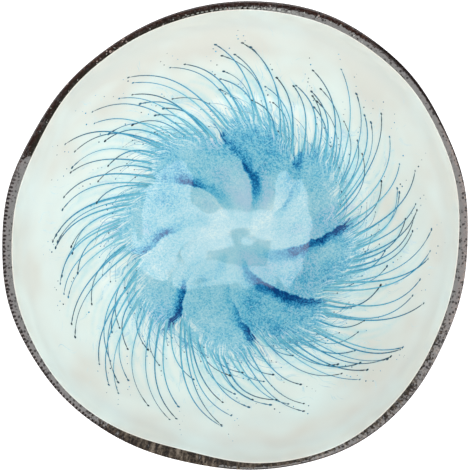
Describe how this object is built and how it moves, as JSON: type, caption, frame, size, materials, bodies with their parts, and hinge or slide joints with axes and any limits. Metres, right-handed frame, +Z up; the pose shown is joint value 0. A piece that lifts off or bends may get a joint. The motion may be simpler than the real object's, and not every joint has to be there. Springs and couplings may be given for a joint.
{
  "type": "coconut shell bowl",
  "caption": "Bowl made of half a coconut shell, with a thin uneven rim, a flat sanded foot and a lacquered inside, for serving food or holding small things.",
  "frame": {"origin": "middle of the flat foot on the bottom", "axes": "+Z up out of the bowl, +X to the right and +Y to the top of a picture taken from straight above"},
  "size_m": [0.1434, 0.1439, 0.058],
  "materials": {
    "shell": "dark brown coconut shell, sanded smooth and varnished to a gloss",
    "lining": "cream lacquer, glossy",
    "bloom": "clear and pale blue lacquer, glossy"
  },
  "bodies": {
    "root": {"shell": "shell", "lining": "lining", "bloom": "bloom"}
  },
  "joints": []
}
